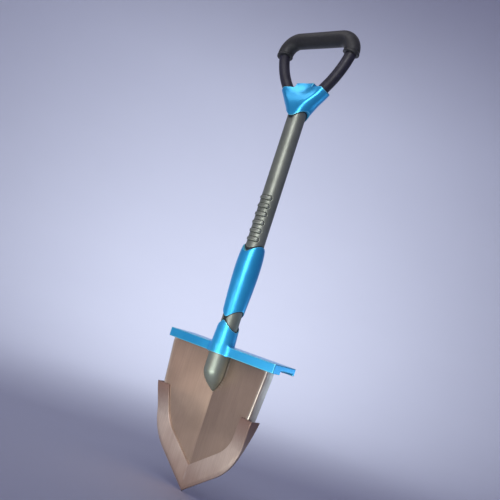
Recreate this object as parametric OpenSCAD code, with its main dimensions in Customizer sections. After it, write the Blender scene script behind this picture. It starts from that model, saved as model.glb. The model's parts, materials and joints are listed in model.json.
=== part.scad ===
// Detecting shovel: a short D-handled digging shovel for metal detecting.
// The origin is at the back of the blade's point. The shaft stands along +Z, the blade's
// hollow front faces -Y, and the blade's width runs along X. The shaft's axis stands
// axis_setback in front of the point, and every module below is drawn about that axis.

/* [Overall] */
// Height from the blade's point to the top of the grip
overall_h = 750; // [745:1:755]
// Distance from the blade's point forward to the shaft's axis
axis_setback = 14; // [13:0.5:15]

/* [Shaft] */
// Outer radius of the shaft tube
shaft_r = 14.5; // [14.2:0.1:14.6]
// Wall of the shaft tube
shaft_wall = 1.8; // [1.2:0.1:2.4]
// Height of the shaft's lower end, inside the blade socket
shaft_z0 = 178; // [176:1:182]
// Height of the shaft's upper end, inside the yoke
shaft_z1 = 620; // [616:1:622]
// Height of the lowest thumb rib
rib_z = 391; // [388:1:394]
// Distance between thumb ribs
rib_pitch = 13.7; // [13:0.1:14]
// Number of thumb ribs
rib_count = 6; // [4:1:6]
// Angle that a rib covers round the front of the shaft
rib_span = 98; // [80:1:110]
// How far a rib stands proud of the shaft
rib_proud = 1.3; // [0.8:0.1:1.5]
// Width of a rib along the shaft
rib_w = 6; // [5:0.1:7]

/* [D-handle] */
// Outer radius of the handle tube
tube_r = 9; // [8.8:0.1:9.2]
// Wall of the handle tube
tube_wall = 1.5; // [1:0.1:2]
// Outer radius of the soft grip
grip_r = 13; // [12.5:0.1:13.5]
// Angle of the legs from the shaft where they leave the bends
leg_top_lean = 15; // [14:0.1:16]
// Angle of the legs from the shaft inside the yoke
leg_lean = 38; // [37:0.1:39]
// Radius of the legs' outward bow, at the tube's centre line
bow_r = 145; // [142:1:148]
// Radius of the bends, at the tube's centre line
bend_r = 24; // [23.5:0.1:25]
// Half the straight length of the crossbar
bar_half = 40.6; // [39:0.1:42]
// Height of the legs' lower ends, inside the yoke
leg_foot_z = 637; // [636:0.5:638]

/* [Yoke] */
// Outer radius of an arm at its mouth
arm_r = 12.5; // [12:0.1:13]
// Height of the middle of the arms' mouths
mouth_z = 651; // [650:0.5:652]
// Outer radius of the yoke round the shaft
yoke_foot_r = 16.4; // [16.2:0.1:16.8]
// Height of the centre of the round side arches
yoke_arch_z = 593; // [592:0.5:595]
// Radius of the side arches
yoke_arch_r = 16.2; // [16:0.1:16.3]

/* [Lower sleeve] */
// Radius of the sleeve at its ends
sleeve_end_r = 16; // [15.8:0.1:16.4]
// How much the sleeve swells at its thickest
sleeve_swell = 4; // [3.9:0.1:4.1]
// Height of the centre of the domed top edge
sleeve_dome_z = 366.8; // [364:0.1:368]
// Radius of the domed top edge, seen from the side
sleeve_dome_r = 16.2; // [16.2:0.1:17.5]
// Height of the round side window between sleeve and collar
waist_z = 262.8; // [262:0.1:264]
// Radius of the side window
waist_r = 16.3; // [16:0.1:16.6]

/* [Foot plate] */
// Half the width of the foot plate
plate_half = 107.6; // [106:0.1:109]
// Height of the underside of the plate's front bar
plate_z = 209.4; // [209:0.1:210]
// Height of the front bar
bar_h = 14; // [13.5:0.1:15]
// How far the front bar stands in front of the shaft's axis
bar_front = 7.6; // [7.4:0.1:8]
// How far the front bar reaches behind the shaft's axis
bar_back = 11; // [10.5:0.1:11.5]
// How far the tread reaches behind the shaft's axis
tread_back = 48; // [47.5:0.1:48.5]
// Thickness of the tread
tread_t = 8; // [7:0.1:8.5]
// Radius of the collar where it meets the tread
collar_r = 18.6; // [18.4:0.1:19]
// Radius of the collar's upper edge
collar_top_r = 16.3; // [16.2:0.1:16.6]

/* [Blade] */
// Half the width of the blade
blade_half = 97; // [96:0.1:98]
// Thickness of the blade
sheet_t = 2.5; // [2:0.1:3]
// How far the valley's crease lies behind the shaft's axis
crease_y = 11.7; // [11.5:0.1:12]
// Slope of the valley's sides at the top of the blade
top_slope = 0.178; // [0.17:0.001:0.185]
// Slope of the valley's sides near the point
low_slope = 0.08; // [0.07:0.001:0.1]
// Depth of the side flanges at the top
flange_depth = 18; // [17:0.1:18.5]
// Angle of the point's edges from level
point_angle = 36.5; // [36:0.1:37]
// Angle of the sides above the round shoulders, from level
side_angle = 77.7; // [77:0.1:78]
// Radius of the round shoulders
shoulder_r = 85; // [84:0.5:86]
// Half the blade's width where the straight edges of the point end
point_half = 56.6; // [56:0.1:57]

/* [Cutting edge] */
// Thickness of the hardened cutting edge
edge_t = 2.5; // [2:0.1:2.6]
// Height of the cutting edge's upper ends
edge_top_z = 137; // [136:0.5:138]
// Height of the inner corner over the crease
inner_apex_z = 38.5; // [38:0.1:39]
// Half the width of the inner edge where its straight part ends
inner_half = 48; // [47:0.1:49]
// Radius of the inner edge's shoulders
inner_r = 55; // [54:0.5:56]

/* [Blade socket] */
// Outer radius of the blade socket
socket_r = 16.7; // [16.6:0.1:16.8]
// Radius of the ball that the socket's nose is cut to
nose_r = 33; // [31:0.5:34]
// Height of the nose's point on the crease
nose_tip_z = 151; // [150:0.5:152]

/* [Hidden] */
$fn = 96;

hull_fn = 32;              // facets on the children of a hull
cut = 0.5;                 // how far a cutter runs past a face
gap = 0.1;                 // clearance between parts that slot together
far = 60;                  // longer than the part is deep at any place it is used

steel = [0.60, 0.53, 0.49];
edge_steel = [0.66, 0.55, 0.52];
olive = [0.43, 0.44, 0.39];
azure = [0.16, 0.57, 0.85];
black = [0.13, 0.13, 0.15];
dark_rubber = [0.10, 0.12, 0.13];
zinc = [0.70, 0.71, 0.72];

shaft_bore_r = shaft_r - shaft_wall;
plate_top = plate_z + bar_h;
bar_z = overall_h - grip_r;             // height of the crossbar's centre line
bend_z = bar_z - bend_r;                // height of the bends' centres

// A fastener: a pan head on a plain shank
head_r = 3.2;
head_h = 2.2;
shank_r = 1.6;
hex_r = 1.7;
hex_depth = 1.3;
// A rivet
rivet_r = 2;
rivet_head_r = 3.4;
rivet_head_h = 1.6;

module on_axis() { translate([0, -axis_setback, 0]) children(); }

module both_sides() {
    children();
    mirror([1, 0, 0]) children();
}

// A cylinder from z0 to z1 on the shaft's axis
module post(r, z0, z1) { translate([0, 0, z0]) cylinder(r = r, h = z1 - z0); }

module pipe(r_out, r_in, z0, z1) {
    difference() {
        post(r_out, z0, z1);
        post(r_in, z0 - cut, z1 + cut);
    }
}

// A cylinder along X through the shaft, as seen from the side a circle
module side_circle(z, r) {
    translate([-far / 2, 0, z]) rotate([0, 90, 0]) cylinder(r = r, h = far);
}

// A solid through a stack of outlines with the same number of points, each drawn
// anticlockwise as seen from above. ends splits a hollowed outline into convex pieces.
module loft(outlines, heights, ends = undef) {
    n = len(outlines[0]);
    end_faces = is_undef(ends) ? [[for (j = [0:n - 1]) j]] : ends;
    top = len(heights) - 1;
    points = [for (i = [0:top]) for (p = outlines[i]) [p.x, p.y, heights[i]]];
    sides = [
        for (i = [0:top - 1]) for (j = [0:n - 1])
            let (a = i * n + j, b = i * n + (j + 1) % n)
                each [[a, a + n, b + n], [a, b + n, b]]
    ];
    caps = concat(
        end_faces,
        [for (e = end_faces) [for (j = [len(e) - 1:-1:0]) top * n + e[j]]]
    );
    polyhedron(points, concat(sides, caps));
}

function ease(u) = let (c = max(0, min(1, u))) c * c * (3 - 2 * c);

// ---- Fasteners, drawn with the head's seat at the origin and the head along +Z ----

module screw(length) {
    difference() {
        union() {
            cylinder(r = head_r, h = head_h);
            translate([0, 0, -length]) cylinder(r = shank_r, h = length + head_h / 2);
        }
        translate([0, 0, head_h - hex_depth]) cylinder(r = hex_r, h = hex_depth + cut, $fn = 6);
    }
}

// What a screw takes out of the parts it passes through: its shank and its head's recess
module screw_hole(length, recess) {
    translate([0, 0, -length]) cylinder(r = shank_r, h = length + cut);
    cylinder(r = head_r + gap, h = recess);
}

module rivet(length) {
    translate([0, 0, -length]) cylinder(r = rivet_r, h = length);
    intersection() {
        cylinder(r = rivet_head_r, h = rivet_head_h);
        translate([0, 0, rivet_head_h - 2 * rivet_head_r]) sphere(r = 2 * rivet_head_r);
    }
}

// Puts a fastener at x and z, with its seat at y and its head facing backwards
module from_behind(x, y, z) { translate([x, y, z]) rotate([-90, 0, 0]) children(); }

// ---- Blade ----

// Centre of the round shoulders
shoulder_c = [
    point_half - shoulder_r * sin(point_angle),
    point_half * tan(point_angle) + shoulder_r * cos(point_angle)
];
tip_half = 0.5;            // the point is blunt by this much each side
shoulder_steps = 8;
side_steps = 5;

// Half width and height of the blade's outline, from the point up to the full width,
// moved inwards by inset
function shoulder(angle, inset) = shoulder_c + (shoulder_r - inset) * [sin(angle), -cos(angle)];
function outline(inset, half) =
    let (
        low = shoulder(point_angle, inset),
        high = shoulder(side_angle, inset),
        full_z = high.y + (half - high.x) * tan(side_angle)
    ) concat(
        [[tip_half, inset / cos(point_angle)]],
        [for (i = [0:shoulder_steps])
            shoulder(point_angle + (side_angle - point_angle) * i / shoulder_steps, inset)],
        [for (i = [1:side_steps]) high + ([half, full_z] - high) * i / side_steps]
    );

// The valley's sides are steep at the top of the blade and flatter near the point
slope_z0 = 85;
slope_z1 = 140;
function slope(z) = low_slope + (top_slope - low_slope) * ease((z - slope_z0) / (slope_z1 - slope_z0));
function face_y(x, z) = crease_y - slope(z) * abs(x);

// The flanges fold backwards from the sides and run out near the shoulders
flange_z0 = 80;
flange_z1 = 137;
function flange_y(x, z) =
    face_y(x, z) + sheet_t * (1 + slope(z)) + 0.05
    + (flange_depth - sheet_t * (1 + slope(z)) - 0.05) * ease((z - flange_z0) / (flange_z1 - flange_z0));

blade_top = plate_z + 5;   // the blade's top edge stands in a groove in the foot plate
blade_rows = concat(outline(edge_t, blade_half), [[blade_half, 165], [blade_half, blade_top]]);

function blade_section(w, z) =
    let (
        in = max(w - sheet_t, w / 2),
        f = face_y(w, z),
        r = flange_y(w, z),
        b = min(face_y(in, z) + sheet_t, r - 0.04)
    ) [
        [-w, f], [0, crease_y], [w, f], [w, r], [in, r], [in, b],
        [0, crease_y + sheet_t], [-in, b], [-in, r], [-w, r]
    ];

blade_ends = [[0, 1, 6, 7], [1, 2, 5, 6], [2, 3, 4, 5], [9, 0, 7, 8]];

module blade_sheet() {
    loft([for (q = blade_rows) blade_section(q.x, q.y)], [for (q = blade_rows) q.y], blade_ends);
}

// Where the screws that hold the foot plate pass through the blade's top edge
plate_screw_x = [-75, -35, 35, 75];
plate_screw_z = plate_z + 2.6;
plate_screw_l = 14;

module blade() {
    color(steel) on_axis() difference() {
        blade_sheet();
        socket_envelope(gap);
        for (x = plate_screw_x) from_behind(x, bar_back, plate_screw_z) screw_hole(plate_screw_l, 1);
    }
}

// ---- Cutting edge ----

// All that lies behind the blade's front face and inside its sides
function backing_section(w, z) = [[-w, face_y(w, z)], [0, crease_y], [w, face_y(w, z)], [w, far], [-w, far]];
function shoe_section(w, z) = [
    [-w, face_y(w, z) - edge_t], [0, crease_y - edge_t], [w, face_y(w, z) - edge_t],
    [w, flange_y(w, z)], [-w, flange_y(w, z)]
];

inner_steps = 6;
inner_low = [inner_half, inner_apex_z + inner_half * tan(point_angle)];
inner_c = inner_low + inner_r * [-sin(point_angle), cos(point_angle)];
inner_high = inner_c + inner_r * [sin(side_angle), -cos(side_angle)];
inner_top_z = edge_top_z + 5;
inner_side = concat(
    [for (i = [0:inner_steps])
        let (a = point_angle + (side_angle - point_angle) * i / inner_steps)
            inner_c + inner_r * [sin(a), -cos(a)]],
    [[inner_high.x + (inner_top_z - inner_high.y) / tan(side_angle), inner_top_z]]
);

// The opening between the cutting edge's two sides, as a prism from front to back
module inner_window() {
    n = len(inner_side);
    left = [for (i = [n - 1:-1:0]) [-inner_side[i].x, inner_side[i].y]];
    translate([0, far, 0]) rotate([90, 0, 0]) linear_extrude(height = 2 * far)
        polygon(concat([[0, inner_apex_z]], inner_side, left));
}

valley_ends = [[0, 1, 4], [1, 2, 3], [1, 3, 4]];

module cutting_edge() {
    rows = outline(0, blade_half + edge_t);
    color(edge_steel) on_axis() difference() {
        intersection() {
            loft([for (q = rows) shoe_section(q.x, q.y)], [for (q = rows) q.y], valley_ends);
            translate([-blade_half - far, -far, -cut])
                cube([2 * (blade_half + far), 2 * far, edge_top_z + cut]);
        }
        loft([for (q = blade_rows) backing_section(q.x, q.y)], [for (q = blade_rows) q.y], valley_ends);
        inner_window();
    }
}

// ---- Blade socket ----

socket_top = plate_z + 12;
nose_z = nose_tip_z + nose_r;
rivet_z = [190, 202];
rivet_l = 7;

// The socket's nose is cut to a ball that touches the crease, so it leans back to a point there
module socket_envelope(grow) {
    post(socket_r + grow, nose_z, socket_top);
    intersection() {
        post(socket_r + grow, nose_tip_z - cut, nose_z);
        translate([0, crease_y, nose_z]) sphere(r = nose_r + grow);
    }
}

module blade_socket() {
    color(olive) on_axis() difference() {
        socket_envelope(0);
        post(shaft_r, shaft_z0, socket_top + cut);
        for (z = rivet_z) from_behind(0, socket_r, z) translate([0, 0, -rivet_l])
            cylinder(r = rivet_r, h = rivet_l + cut);
    }
}

// Two weld beads along the slot in the blade's back
module socket_welds() {
    bead_r = 2.4;
    bead_x = 7.5;
    bead_z = [168, 206];
    color(steel) on_axis() difference() {
        both_sides() translate([bead_x, crease_y + sheet_t - 0.6, bead_z[0]])
            cylinder(r = bead_r, h = bead_z[1] - bead_z[0]);
        socket_envelope(0);
        blade_sheet();
    }
}

module socket_rivets() {
    color(zinc) on_axis() for (z = rivet_z) from_behind(0, socket_r, z) rivet(rivet_l);
}

// ---- Foot plate, with its collar ----

rim_w = 4;
rim_h = 11;
web_w = 3;
web_x = [30, 58, 86];
fillet_r = 4;
fillet_steps = 6;
collar_screw_z = 240;
collar_screw_l = 7;
collar_head_y = 16.2;

// Half section of the collar: a cone above the tread, a plain boss through it
collar_section = [
    [0, plate_z], [collar_r, plate_z], [collar_r, plate_top],
    [collar_top_r, waist_z - 1], [0, waist_z - 1]
];
// Half section of the hollow fillet where the collar meets the tread
fillet_section = concat(
    [[collar_r - 1, plate_top - 1], [collar_r + fillet_r, plate_top - 1]],
    [for (i = [0:fillet_steps])
        let (a = 270 - 90 * i / fillet_steps)
            [collar_r + fillet_r * (1 + cos(a)), plate_top + fillet_r * (1 + sin(a))]],
    [[collar_r - 1, plate_top + fillet_r]]
);

module tread() {
    translate([-plate_half, -bar_front, plate_z])
        cube([2 * plate_half, bar_front + bar_back, bar_h]);
    translate([-plate_half, 0, plate_top - tread_t])
        cube([2 * plate_half, tread_back, tread_t]);
    translate([-plate_half, tread_back - rim_w, plate_top - rim_h])
        cube([2 * plate_half, rim_w, rim_h]);
    both_sides() for (x = web_x) translate([x, 0, plate_top - rim_h])
        cube([web_w, tread_back, rim_h]);
}

module foot_plate() {
    color(azure) on_axis() difference() {
        union() {
            tread();
            rotate_extrude() polygon(collar_section);
            intersection() {
                rotate_extrude() polygon(fillet_section);
                translate([-far / 2, -bar_front, plate_z]) cube([far, far, far]);
            }
        }
        post(shaft_r, plate_z - cut, waist_z);
        post(socket_r, plate_z - cut, socket_top);
        side_circle(waist_z, waist_r);
        // The groove that the blade's top edge stands in
        translate([0, 0, plate_z - cut]) linear_extrude(height = blade_top - plate_z + cut)
            polygon(blade_section(blade_half, blade_top));
        for (x = plate_screw_x) from_behind(x, bar_back, plate_screw_z) screw_hole(plate_screw_l, 1);
        from_behind(0, collar_head_y, collar_screw_z) screw_hole(collar_screw_l, 6);
    }
}

module plate_screws() {
    color(zinc) on_axis() for (x = plate_screw_x)
        from_behind(x, bar_back, plate_screw_z) screw(plate_screw_l);
}

module collar_screw() {
    color(zinc) on_axis() from_behind(0, collar_head_y, collar_screw_z) screw(collar_screw_l);
}

// ---- Shaft ----

core_z0 = shaft_z0;
core_z1 = 310;
core_bore_r = 8;
plug_z0 = 588;
plug_rim = 2.5;

module rib_solid(z) {
    end_r = rib_w / 2;
    translate([0, 0, z]) rotate([0, 0, -90 - rib_span / 2]) rotate_extrude(angle = rib_span)
        intersection() {
            translate([shaft_r + rib_proud - end_r, 0]) circle(r = end_r);
            translate([shaft_r - 0.6, -rib_w / 2]) square([rib_w, rib_w]);
        }
}

module shaft_screw_holes() {
    for (z = sleeve_screw_z) from_behind(0, sleeve_seat_y(z), z) screw_hole(sleeve_screw_l, 1);
    from_behind(0, collar_head_y, collar_screw_z) screw_hole(collar_screw_l, 1);
    from_behind(0, yoke_head_y, yoke_screw_z) screw_hole(yoke_screw_l, 1);
    for (z = rivet_z) from_behind(0, socket_r, z) translate([0, 0, -rivet_l])
        cylinder(r = rivet_r, h = rivet_l + cut);
}

module shaft_tube() {
    color(olive) on_axis() difference() {
        pipe(shaft_r, shaft_bore_r, shaft_z0, shaft_z1);
        for (i = [0:rib_count - 1]) rib_solid(rib_z + i * rib_pitch);
        shaft_screw_holes();
    }
}

// A stiffening tube inside the shaft, across the socket and the waist
module shaft_core() {
    color(zinc) on_axis() difference() {
        pipe(shaft_bore_r, core_bore_r, core_z0, core_z1);
        shaft_screw_holes();
    }
}

module shaft_plug() {
    color(black) on_axis() difference() {
        union() {
            post(shaft_bore_r, plug_z0, shaft_z1);
            post(shaft_r, shaft_z1, shaft_z1 + plug_rim);
        }
        shaft_screw_holes();
    }
}

module thumb_ribs() {
    color(olive) on_axis() for (i = [0:rib_count - 1]) rib_solid(rib_z + i * rib_pitch);
}

// ---- Lower sleeve ----

sleeve_top = sleeve_dome_z + sleeve_dome_r;
sleeve_wall = 2.4;
sleeve_steps = 24;
ring_z = [296, 326, 356];
ring_h = 8;
hollow_z = [282, 342, 370]; // lower end, widest place and upper end of the shell's hollow
sleeve_screw_z = [300, 360];
sleeve_screw_l = 9;

function sleeve_radius(z) =
    let (t = max(0, min(1, (sleeve_top - z) / (sleeve_top - waist_z))))
        sleeve_end_r + sleeve_swell * sin(180 * pow(t, 0.6));
sleeve_seat_depth = 1.2;
function sleeve_seat_y(z) = sleeve_radius(z) - sleeve_seat_depth;

module barrel(z0, z1) {
    rotate_extrude() polygon(concat(
        [[0, z0]],
        [for (i = [0:sleeve_steps])
            let (z = z0 + (z1 - z0) * i / sleeve_steps) [sleeve_radius(z), z]],
        [[0, z1]]
    ));
}

// The hollow in the shell, two cones end to end
module sleeve_hollow() {
    rotate_extrude() polygon(concat(
        [[0, hollow_z[0]]],
        [for (z = hollow_z) [sleeve_radius(z) - sleeve_wall, z]],
        [[0, hollow_z[2]]]
    ));
}

// Trims a part's top to a dome, as seen from the side
module dome_trim(z, r) {
    intersection() {
        children();
        union() {
            side_circle(z, r);
            translate([-far / 2, -far / 2, 0]) cube([far, far, z]);
        }
    }
}

module lower_sleeve() {
    color(azure) on_axis() dome_trim(sleeve_dome_z, sleeve_dome_r) difference() {
        barrel(waist_z + 1, sleeve_top);
        post(shaft_r, waist_z, sleeve_top + cut);
        side_circle(waist_z, waist_r);
        sleeve_hollow();
        for (z = sleeve_screw_z) from_behind(0, sleeve_seat_y(z), z) screw_hole(sleeve_screw_l, 6);
    }
}

// Rings that centre the shell on the shaft
module sleeve_rings() {
    color(black) on_axis() for (z = ring_z) difference() {
        intersection() {
            sleeve_hollow();
            half_space(z, z + ring_h);
        }
        post(shaft_r, z - cut, z + ring_h + cut);
        for (s = sleeve_screw_z) from_behind(0, sleeve_seat_y(s), s) screw_hole(sleeve_screw_l, 1);
    }
}

module sleeve_screws() {
    color(zinc) on_axis() for (z = sleeve_screw_z)
        from_behind(0, sleeve_seat_y(z), z) screw(sleeve_screw_l);
}

// ---- Seals: thin rubber lips along the curved edges of the blue mouldings ----

seal_t = 1.2;
seal_out = 0.9;            // how far a seal stands out from the shaft

module seal_ring(z, r_outer, r_inner) {
    $fn = 240;
    intersection() {
        pipe(shaft_r + seal_out, shaft_r, z - r_outer - cut, z + r_outer + cut);
        difference() {
            side_circle(z, r_outer);
            side_circle(z, r_inner);
        }
    }
}

module half_space(z0, z1) { translate([-far / 2, -far / 2, z0]) cube([far, far, z1 - z0]); }

module sleeve_top_seal() {
    color(dark_rubber) on_axis() intersection() {
        seal_ring(sleeve_dome_z, sleeve_dome_r + seal_t, sleeve_dome_r);
        half_space(sleeve_dome_z, sleeve_dome_z + far);
    }
}

module sleeve_foot_seal() {
    color(dark_rubber) on_axis() intersection() {
        seal_ring(waist_z, waist_r, waist_r - seal_t);
        half_space(waist_z + 1, waist_z + far);
    }
}

module collar_seal() {
    color(dark_rubber) on_axis() intersection() {
        seal_ring(waist_z, waist_r, waist_r - seal_t);
        half_space(waist_z - far, waist_z - 1);
    }
}

module yoke_seal() {
    color(dark_rubber) on_axis() intersection() {
        seal_ring(yoke_arch_z, yoke_arch_r, yoke_arch_r - seal_t);
        half_space(yoke_arch_z, yoke_arch_z + far);
    }
}

// ---- D-handle ----

// The bow starts where the bend ends, and ends where the leg runs straight into the yoke
bow_centre = [
    bar_half + (bend_r - bow_r) * cos(leg_top_lean), bend_z - (bend_r - bow_r) * sin(leg_top_lean)
];
bow_end = [bow_centre.x + bow_r * cos(leg_lean), bow_centre.y - bow_r * sin(leg_lean)];
leg_foot_x = bow_end.x - (bow_end.y - leg_foot_z) * tan(leg_lean);
grip_end_angle = -9;       // where the grip ends on the bend, below level
bead_span = 5;             // how much of the bend the grip's end bead takes up
bead_proud = 0.8;
bend_steps = 8;
bow_steps = 5;
tube_fn = 28;

// A station on the D's centre line, as x, z and the angle of the outward direction
function bend_station(a) = [bar_half + bend_r * cos(a), bend_z + bend_r * sin(a), a];
function bow_station(a) = [bow_centre.x + bow_r * cos(a), bow_centre.y + bow_r * sin(a), a];
function mirrored(s) = [-s.x, s.y, 180 - s.z];
function whole(half) = concat(
    [for (i = [len(half) - 1:-1:0]) mirrored(half[i])],
    [for (s = half) s]
);
function ring_point(s, r, angle) = [
    s.x + r * cos(angle) * cos(s.z), -r * sin(angle), s.y + r * cos(angle) * sin(s.z)
];

// A hollow bar through the stations, with its outer radius given at each of them
module hollow_bar(stations, outer, r_in) {
    top = len(stations) - 1;
    n = tube_fn;
    inner = n * (top + 1);
    points = concat(
        [for (i = [0:top]) for (j = [0:n - 1]) ring_point(stations[i], outer[i], 360 * j / n)],
        [for (i = [0:top]) for (j = [0:n - 1]) ring_point(stations[i], r_in, 360 * j / n)]
    );
    sides = [
        for (i = [0:top - 1]) for (j = [0:n - 1])
            let (a = i * n + j, b = i * n + (j + 1) % n, c = inner + a, d = inner + b)
                each [[a, a + n, b + n], [a, b + n, b], [c, d + n, c + n], [c, d, d + n]]
    ];
    ends = [
        for (j = [0:n - 1])
            let (k = (j + 1) % n, z = top * n)
                each [[j, k, inner + k, inner + j], [inner + j + z, inner + k + z, k + z, j + z]]
    ];
    polyhedron(points, concat(sides, ends));
}

// The straight end of the right-hand leg, for the bore that it sits in
module leg_end(r) {
    translate([bow_end.x, 0, bow_end.y]) rotate([0, 180 + leg_lean, 0])
        cylinder(r = r, h = (bow_end.y - leg_foot_z) / cos(leg_lean), $fn = tube_fn);
}

module handle_tube() {
    half = concat(
        [for (i = [0:bend_steps]) bend_station(90 - (90 + leg_top_lean) * i / bend_steps)],
        [for (i = [1:bow_steps]) bow_station(-leg_top_lean - (leg_lean - leg_top_lean) * i / bow_steps)],
        [[leg_foot_x, leg_foot_z, -leg_lean]]
    );
    stations = whole(half);
    color(black) on_axis() difference() {
        hollow_bar(stations, [for (s = stations) tube_r], tube_r - tube_wall);
        both_sides() at_arm_screw() screw_hole(yoke_screw_l, 1);
    }
}

module grip_sleeve() {
    bead_angle = grip_end_angle + bead_span;
    plain = [for (i = [0:bend_steps]) bend_station(90 - (90 - bead_angle) * i / bend_steps)];
    bead = [for (u = [0.25, 0.5, 0.75, 1]) bend_station(bead_angle - bead_span * u)];
    half_r = concat([for (s = plain) grip_r], [for (q = [0.8, 1, 0.8, 0]) grip_r + bead_proud * q]);
    color(black) on_axis() hollow_bar(
        whole(concat(plain, bead)),
        concat([for (i = [len(half_r) - 1:-1:0]) half_r[i]], half_r),
        tube_r
    );
}

// ---- Yoke ----

mouth_x = bow_end.x - (bow_end.y - mouth_z) * tan(leg_lean);
yoke_screw_z = 611;
yoke_screw_l = 9;
yoke_head_y = 15;
arm_screw_z = 645;
dish_r = 40;
dish_floor = 7;            // the web's half thickness at the bottom of the dish
dish_z = 656;
// The yoke's section just above the shaft's arches: a stadium
throat_z = 611;
throat_x = 12;             // the centres of its round ends
throat_r = 13;

// Puts a screw in the back of the right-hand arm
module at_arm_screw() {
    from_behind(mouth_x - (mouth_z - arm_screw_z) * tan(leg_lean), arm_r - head_h, arm_screw_z) children();
}

module yoke_body() {
    hull() {
        both_sides() translate([mouth_x, 0, mouth_z]) rotate([0, leg_lean, 0])
            translate([0, 0, -4]) cylinder(r = arm_r, h = 4, $fn = hull_fn);
        both_sides() translate([throat_x, 0, throat_z]) cylinder(r = throat_r, h = 1, $fn = hull_fn);
        translate([0, 0, yoke_arch_z - 1]) cylinder(r = yoke_foot_r, h = 22, $fn = hull_fn);
    }
}

module yoke() {
    color(azure) on_axis() difference() {
        yoke_body();
        side_circle(yoke_arch_z, yoke_arch_r);
        half_space(yoke_arch_z - 5, yoke_arch_z);
        post(shaft_r, yoke_arch_z - 5, shaft_z1 + plug_rim);
        both_sides() leg_end(tube_r);
        for (side = [-1, 1]) translate([0, side * (dish_r + dish_floor), dish_z]) sphere(r = dish_r);
        from_behind(0, yoke_head_y, yoke_screw_z) screw_hole(yoke_screw_l, 8);
        both_sides() at_arm_screw() screw_hole(yoke_screw_l, 8);
    }
}

module yoke_screws() {
    color(zinc) on_axis() {
        from_behind(0, yoke_head_y, yoke_screw_z) screw(yoke_screw_l);
        both_sides() at_arm_screw() screw(yoke_screw_l);
    }
}

blade();
cutting_edge();
blade_socket();
socket_welds();
socket_rivets();
foot_plate();
plate_screws();
collar_screw();
shaft_tube();
shaft_core();
shaft_plug();
thumb_ribs();
lower_sleeve();
sleeve_rings();
sleeve_screws();
sleeve_top_seal();
sleeve_foot_seal();
collar_seal();
yoke();
yoke_seal();
yoke_screws();
handle_tube();
grip_sleeve();
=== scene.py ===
"""The looks of a short D-handled digging shovel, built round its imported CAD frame.

Shapes are worked out in millimetres: x and y from the shaft's axis and z from the blade's
point, as in the CAD source. place() turns them into the frame's metres.
"""

import itertools
import json
import math

import bpy
import numpy as np
from mathutils import Matrix, Vector


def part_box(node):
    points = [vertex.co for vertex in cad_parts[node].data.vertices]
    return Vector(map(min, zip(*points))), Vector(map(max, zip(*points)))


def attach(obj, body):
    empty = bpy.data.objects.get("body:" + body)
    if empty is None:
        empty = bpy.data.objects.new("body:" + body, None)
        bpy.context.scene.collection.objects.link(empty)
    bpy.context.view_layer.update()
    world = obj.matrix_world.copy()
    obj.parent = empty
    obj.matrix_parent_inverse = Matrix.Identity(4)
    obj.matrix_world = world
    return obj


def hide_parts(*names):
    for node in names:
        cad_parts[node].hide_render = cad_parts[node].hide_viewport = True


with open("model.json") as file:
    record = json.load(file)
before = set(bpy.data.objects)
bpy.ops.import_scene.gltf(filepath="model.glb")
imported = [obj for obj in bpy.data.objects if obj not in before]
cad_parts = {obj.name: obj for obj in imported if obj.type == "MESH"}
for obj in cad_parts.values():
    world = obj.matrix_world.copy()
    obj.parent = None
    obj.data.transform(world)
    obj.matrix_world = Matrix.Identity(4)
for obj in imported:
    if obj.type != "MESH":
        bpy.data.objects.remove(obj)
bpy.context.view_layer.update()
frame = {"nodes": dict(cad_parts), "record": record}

MM = 0.001
NODES = frame["nodes"]


def node_box(name):
    """Lowest and highest corner of a CAD node, in millimetres from the shaft's axis."""
    low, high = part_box(name)
    shift = Vector((0, AXIS_Y, 0))
    return [(corner - shift) / MM for corner in (low, high)]


AXIS_Y = sum(corner.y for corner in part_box("shaft_tube")) / 2

# ---- Sizes in millimetres, from the frame where it has them ----

SHAFT_R = node_box("shaft_tube")[1].x
SHAFT_LOW = node_box("shaft_tube")[0].z
SHAFT_HIGH = node_box("shaft_tube")[1].z
SHAFT_WALL = 1.8

PLATE_HALF = node_box("foot_plate")[1].x
PLATE_LOW = node_box("foot_plate")[0].z
PLATE_HIGH = PLATE_LOW + 14
TREAD_BACK = node_box("foot_plate")[1].y
BAR_FRONT = -7.6
BAR_BACK = 11
TREAD_T = 8
RIM_T = 4
RIM_H = 11
WEB_X = (30, 58, 86)
COLLAR_R = -node_box("foot_plate")[0].y
COLLAR_TOP_R = 16.3

WAIST_Z = 262.8
WAIST_R = 16.3
SLEEVE_TOP = node_box("lower_sleeve")[1].z
SLEEVE_DOME_R = 16.2
SLEEVE_END_R = 16
SLEEVE_SWELL = 4
SEAL_T = 1.2

SOCKET_R = node_box("blade_socket")[1].x
SOCKET_TIP = node_box("blade_socket")[0].z
SOCKET_TOP = node_box("blade_socket")[1].z
NOSE_H = 33

RIB_COUNT = 6
RIB_W = 6
RIB_SPAN = math.radians(98)

SHEET = 2.5
FOLD_R = 1.25
CREASE_Y = 11.7
VALLEY_LOW = 0.08
VALLEY_HIGH = 0.178
BLADE_HALF = node_box("blade")[1].x
BLADE_TOP = node_box("blade")[1].z
EDGE_TOP = node_box("cutting_edge")[1].z
FLANGE = 18
POINT_ANGLE = math.radians(36.5)
SIDE_ANGLE = math.radians(77.7)
SHOULDER_R = 85
SHOULDER_X = 56.6
INNER_APEX_Z = 38.5
INNER_SHOULDER_R = 55
INNER_SHOULDER_X = 48
WELD_X = 8

GRIP_R = 13
TUBE_R = 9
TUBE_WALL = 1.5
TOP_LEAN = math.radians(15)
LEAN = math.radians(38)
BOW_R = 145
BEND_R = 24
BAR_HALF = 40.6
LEG_FOOT_Z = 637
BEND_Z = node_box("grip_sleeve")[1].z - GRIP_R - BEND_R

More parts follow.
